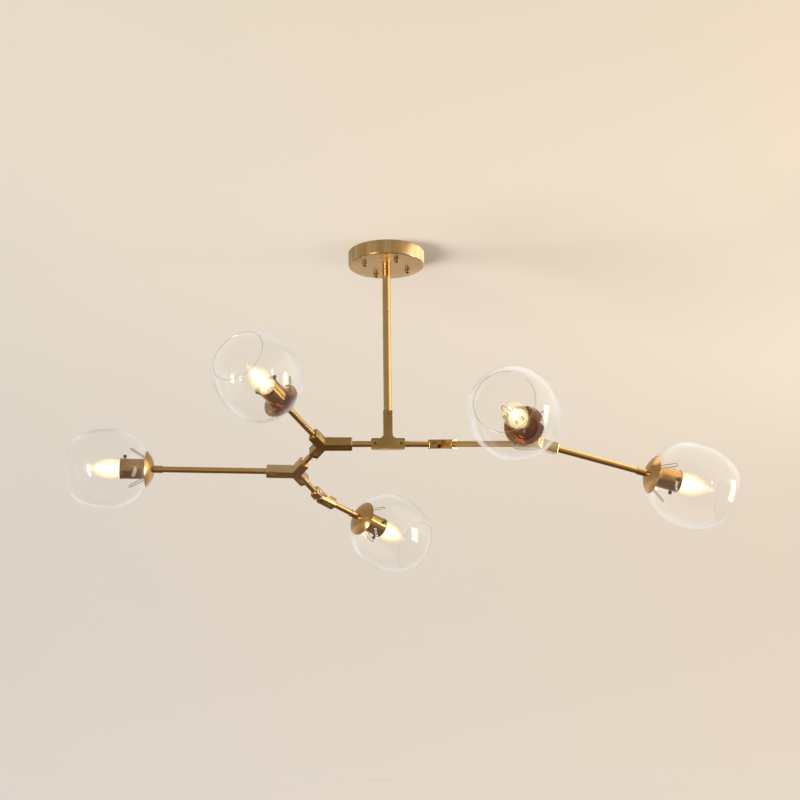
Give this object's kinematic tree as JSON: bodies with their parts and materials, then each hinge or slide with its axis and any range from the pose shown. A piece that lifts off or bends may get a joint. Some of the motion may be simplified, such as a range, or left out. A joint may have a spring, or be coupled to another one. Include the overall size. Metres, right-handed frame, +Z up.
{
  "type": "branch chandelier",
  "caption": "Ceiling chandelier with a round canopy, a down-rod and jointed brass tube branches that end in clear glass shades over candle bulbs",
  "frame": {"origin": "centre of the canopy's ceiling face, between the two ceiling screw holes", "axes": "+Z up to the ceiling, +X along the tee towards the branch on the right in the picture, +Y away from the camera"},
  "size_m": [0.9998, 0.6525, 0.4773],
  "materials": {
    "canopy_brass": "satin brushed brass",
    "tube_brass": "satin brass tube",
    "block_brass": "machined satin brass",
    "spun_brass": "spun satin brass",
    "spring_wire": "bright spring wire",
    "zinc_steel": "zinc plated steel",
    "clear_glass": "clear blown glass",
    "bulb_glass": "frosted warm white bulb",
    "holder_ceramic": "white glazed lampholder",
    "terminal_plastic": "white terminal block",
    "cable_sheath": "flexible cable"
  },
  "bodies": {
    "ceiling_set": {"mounting_plate": "zinc_steel", "canopy": "canopy_brass", "canopy_nuts": "canopy_brass", "terminal_block": "terminal_plastic", "stem_nipple": "tube_brass", "nipple_nut": "tube_brass", "upper_stem": "tube_brass", "lower_stem": "tube_brass", "tee_block": "block_brass", "tee_screws": "zinc_steel", "root_wiring": "cable_sheath"},
    "left_branch": {"left_link_rod": "tube_brass", "y_block_1": "block_brass", "y_link_rod": "tube_brass", "y_block_2": "block_brass", "k2_link_rod": "tube_brass", "knuckle_2_fixed": "block_brass", "knuckle_2_pivot": "zinc_steel", "left_screws": "zinc_steel", "left_lampholders": "holder_ceramic", "left_shade_clips": "spring_wire", "left_bulbs": "bulb_glass", "left_wiring": "cable_sheath", "lamp_rod_a": "tube_brass", "dish_a": "spun_brass", "sleeve_a": "spun_brass", "shade_a": "clear_glass", "lamp_rod_b": "tube_brass", "dish_b": "spun_brass", "sleeve_b": "spun_brass", "shade_b": "clear_glass"},
    "left_end": {"knuckle_2_swing": "block_brass", "end_screws": "zinc_steel", "end_lampholder": "holder_ceramic", "end_shade_clips": "spring_wire", "end_bulb": "bulb_glass", "end_wiring": "cable_sheath", "lamp_rod_c": "tube_brass", "dish_c": "spun_brass", "sleeve_c": "spun_brass", "shade_c": "clear_glass"},
    "right_link": {"right_link_rod": "tube_brass", "knuckle_1_fixed": "block_brass", "knuckle_1_pivot": "zinc_steel"},
    "right_branch": {"knuckle_1_swing": "block_brass", "k1_link_rod": "tube_brass", "y_block_3": "block_brass", "right_screws": "zinc_steel", "right_lampholders": "holder_ceramic", "right_shade_clips": "spring_wire", "right_bulbs": "bulb_glass", "right_wiring": "cable_sheath", "lamp_rod_d": "tube_brass", "dish_d_lamp": "spun_brass", "sleeve_d_lamp": "spun_brass", "shade_d_lamp": "clear_glass", "lamp_rod_e": "tube_brass", "dish_e": "spun_brass", "sleeve_e": "spun_brass", "shade_e": "clear_glass"}
  },
  "joints": [
    {"name": "left_branch_turn", "type": "hinge", "parent": "ceiling_set", "child": "left_branch", "pos_m": [-0.026, 0, -0.312], "axis": [1, 0, 0], "range_deg": [-30, 30]},
    {"name": "knuckle_2_bend", "type": "hinge", "parent": "left_branch", "child": "left_end", "pos_m": [-0.10302, 0.12743, -0.37069], "axis": [0.0227, 0.4186, 0.9079], "range_deg": [-50, 110]},
    {"name": "right_branch_turn", "type": "hinge", "parent": "ceiling_set", "child": "right_link", "pos_m": [0.026, 0, -0.312], "axis": [1, 0, 0], "range_deg": [-30, 30]},
    {"name": "knuckle_1_bend", "type": "hinge", "parent": "right_link", "child": "right_branch", "pos_m": [0.084, 0, -0.312], "axis": [0, -0.225, 0.9744], "range_deg": [-38, 112]}
  ]
}
